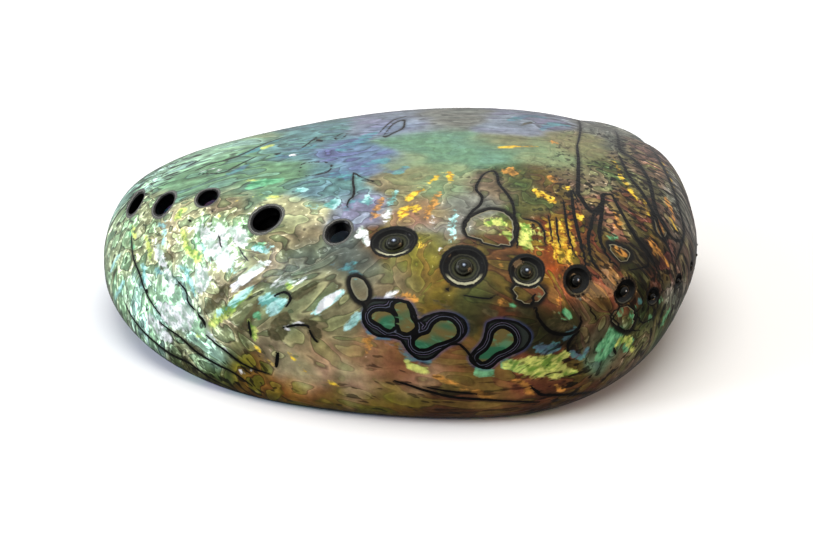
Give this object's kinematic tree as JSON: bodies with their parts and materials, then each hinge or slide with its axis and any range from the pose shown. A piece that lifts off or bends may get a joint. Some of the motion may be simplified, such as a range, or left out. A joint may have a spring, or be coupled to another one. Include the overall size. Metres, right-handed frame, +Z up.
{
  "type": "abalone shell",
  "caption": "Polished abalone shell lying mouth down: a thin ear-shaped iridescent dome with a row of open and sealed pores, a low spire and a flat shelf inside its left rim.",
  "frame": {"origin": "on the surface the shell rests on, under the middle of its bounding box", "axes": "+Z up through the shell's back, -X towards the growing front end with the open pores, -Y towards the left margin, whose flank carries the pore row"},
  "size_m": [0.1517, 0.115, 0.0472],
  "materials": {
    "shell": "polished"
  },
  "bodies": {
    "root": {"shell": "shell"}
  },
  "joints": []
}
